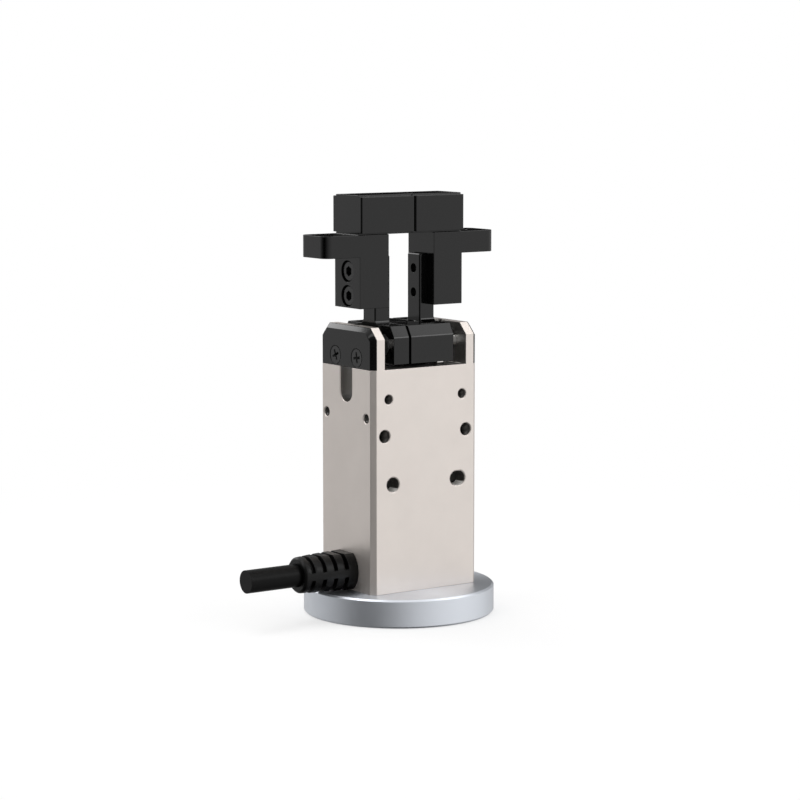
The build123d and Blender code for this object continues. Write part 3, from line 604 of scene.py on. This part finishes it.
# Covers: black anodised plates over the outer faces of the ears. Each keeps the guide rods in and
# is held by two countersunk screws with cross recesses.
anodised = finish(
    "black_anodised", (0.001, 0.001, 0.001),
    metallic=0.0, roughness=0.12, grain=0.0006, depth=0.0000003,
)
anodised.node_tree.nodes["Principled BSDF"].inputs["IOR"].default_value = 1.42
dress(anodised, "left_cover", "right_cover")
dress(black_oxide, "left_cover_screws", "right_cover_screws")
black_edge = 0.00012
cross_floor = 16.8
cross_reach = 2.0
cross_deeper = 0.0006
cross_taper = 0.6
cover_screw_y = (-5.2, 5.2)
cover_screw_z = 72.15
screw_lift = 0.00017
for side, out in (("left", -1), ("right", 1)):
    stand_for(copied(side + "_cover"), side + "_cover", width=black_edge)
    screws = copied(side + "_cover_screws")
    for y in cover_screw_y:
        pick(
            screws,
            "FACE",
            lambda centre, normal: abs(centre.x * out - cross_floor) < near
            and abs(normal.x) > square_on
            and abs(centre.y - y) < cross_reach,
        )
        bpy.ops.transform.translate(value=(-out * cross_deeper, 0, 0))
        bpy.ops.transform.resize(
            value=(1.0, cross_taper, cross_taper),
            center_override=(0, y / mm_in_metre, cover_screw_z / mm_in_metre),
        )
        bpy.ops.object.mode_set(mode="OBJECT")
    pick(screws, "FACE", lambda centre, normal: True)
    bpy.ops.transform.translate(value=(out * screw_lift, 0, 0))
    bpy.ops.object.mode_set(mode="OBJECT")
    bpy.ops.object.select_all(action="DESELECT")
    stand_for(screws, side + "_cover_screws", width=fine_edge)


# Guide rods: two hardened rods, ground between centres, that both carriers slide on. Their ends
# sit in the ears behind the covers.
ground = finish(
    "ground_steel", (0.58, 0.58, 0.58),
    metallic=1.0, roughness=0.16, grain=0.0002, depth=0.000001,
)
add_lines(ground, "BANDS", "X", scale=1500.0, depth=0.000002)
dress(ground, "front_guide_rod", "rear_guide_rod")


# Carriers: black anodised blocks that slide in the housing's slot, each milled in one piece with
# its upright post. Three plain bearings of dark plastic in each run on the rods.
dress(anodised, "left_carrier", "right_carrier")
bearing = finish(
    "bearing_plastic", (0.03, 0.03, 0.031),
    metallic=0.0, roughness=0.4, grain=0.0003, depth=0.000004,
)
dress(bearing, "left_rod_bushes", "right_rod_bushes")
for side in ("left", "right"):
    stand_for(copied(side + "_carrier"), side + "_carrier", width=black_edge)


# Jaws: black anodised fingers. Each is a leg against its carrier's post, a wing that points
# outwards and a gripping block. Two socket cap screws, sunk in the leg, hold it on the post.
dress(anodised, "left_jaw", "right_jaw")
dress(black_oxide, "left_jaw_screws", "right_jaw_screws")
head_top = 16.5
head_rim = 2.3
head_flush = 0.02
jaw_screw_z = (88.65, 95.35)
for side, out in (("left", -1), ("right", 1)):
    stand_for(copied(side + "_jaw"), side + "_jaw", width=black_edge)
    screws = copied(side + "_jaw_screws")
    low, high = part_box(side + "_jaw_screws")
    middle = (low[1] + high[1]) / 2 * mm_in_metre
    pick(
        screws,
        "EDGE",
        lambda place: abs(place.x * out - head_top) < head_flush
        and min(math.hypot(place.y - middle, place.z - z) for z in jaw_screw_z) > head_rim,
    )
    bpy.ops.mesh.bevel(offset=0.00035, segments=4, affect="EDGES")
    bpy.ops.object.mode_set(mode="OBJECT")
    bpy.ops.object.select_all(action="DESELECT")
    stand_for(screws, side + "_jaw_screws", width=fine_edge)


# Solenoid: a plated iron pot, its pole piece and the plunger that it pulls down through a bronze
# bush. The coil is enamelled copper wire on a pale moulded bobbin, and a ring clamps it all in.
# The steel return spring stands on its fixed foot.
plated = finish(
    "plated_iron", (0.58, 0.57, 0.55),
    metallic=1.0, roughness=0.28, grain=0.0003, depth=0.000002,
)
add_lines(plated, "RINGS", "Z", scale=500.0, depth=0.000003)
dress(plated, "solenoid_yoke", "fixed_pole", "plunger", "clamp_ring")
bronze = finish(
    "sintered_bronze", (0.55, 0.36, 0.17),
    metallic=1.0, roughness=0.38, grain=0.0001, depth=0.000005, mottle=0.12,
)
dress(bronze, "plunger_bush")
bobbin = finish(
    "bobbin_plastic", (0.70, 0.67, 0.58),
    metallic=0.0, roughness=0.5, grain=0.0004, depth=0.000005,
)
dress(bobbin, "coil_bobbin")
wire = finish(
    "enamelled_copper", (0.64, 0.26, 0.11),
    metallic=1.0, roughness=0.25, grain=0.0003, depth=0.000002,
)
add_lines(wire, "BANDS", "Z", scale=500.0, depth=0.0001, wobble=0.0)
dress(wire, "coil_winding")
drawn = finish(
    "drawn_wire", (0.42, 0.43, 0.45),
    metallic=1.0, roughness=0.22, grain=0.0002, depth=0.000002,
)
dress(drawn, "return_spring")
spring = copied("return_spring")
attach(spring, "base")
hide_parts("return_spring")
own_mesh(spring)


# Cam drive: a hard flat plate with two slanted slots, pinned into the plunger's top. Rollers on
# cross pins under the carriers run in the slots, so one stroke moves both fingers.
hardened = finish(
    "hardened_plate", (0.50, 0.50, 0.52),
    metallic=1.0, roughness=0.20, grain=0.0002, depth=0.000002,
)
add_lines(hardened, "BANDS", "Z", scale=1200.0, depth=0.000003, wobble=2.0)
dress(hardened, "cam_plate")
dress(ground, "cam_cross_pin", "left_drive_pin", "right_drive_pin", "left_roller", "right_roller")


# Control board: green laminate on turned pillars beside the coil, with its switching parts and
# red insulated leads to the winding.
laminate = finish(
    "green_laminate", (0.02, 0.15, 0.06),
    metallic=0.0, roughness=0.35, grain=0.0004, depth=0.00001, mottle=0.2,
)
add_lines(laminate, "BANDS", "DIAGONAL", scale=350.0, depth=0.00003, wobble=6.0)
dress(laminate, "control_board")
moulded = finish(
    "moulded_parts", (0.02, 0.02, 0.022),
    metallic=0.0, roughness=0.45, grain=0.0002, depth=0.000005, mottle=0.15,
)
dress(moulded, "board_parts")
dress(plated, "board_pillars")
dress(black_oxide, "board_screws")
insulation = finish(
    "lead_insulation", (0.42, 0.03, 0.025),
    metallic=0.0, roughness=0.4, grain=0.0003, depth=0.000003,
)
dress(insulation, "coil_leads")


# Cable: a round black cable that leaves the left side in a straight stub with a plain cut end,
# through a soft slotted boot. Inside the housing its cores run to the board.
sheath = finish(
    "cable_sheath", (0.001, 0.001, 0.001),
    metallic=0.0, roughness=0.38, grain=0.0003, depth=0.000001, mottle=0.1, specular=0.12,
)
dress(sheath, "supply_cable", "cable_cores")
rubber = finish(
    "boot_rubber", (0.001, 0.001, 0.001),
    metallic=0.0, roughness=0.33, grain=0.0002, depth=0.000001, mottle=0.1, specular=0.22,
)
dress(rubber, "strain_relief")
stand_for(copied("strain_relief"), "strain_relief", width=0.00008)
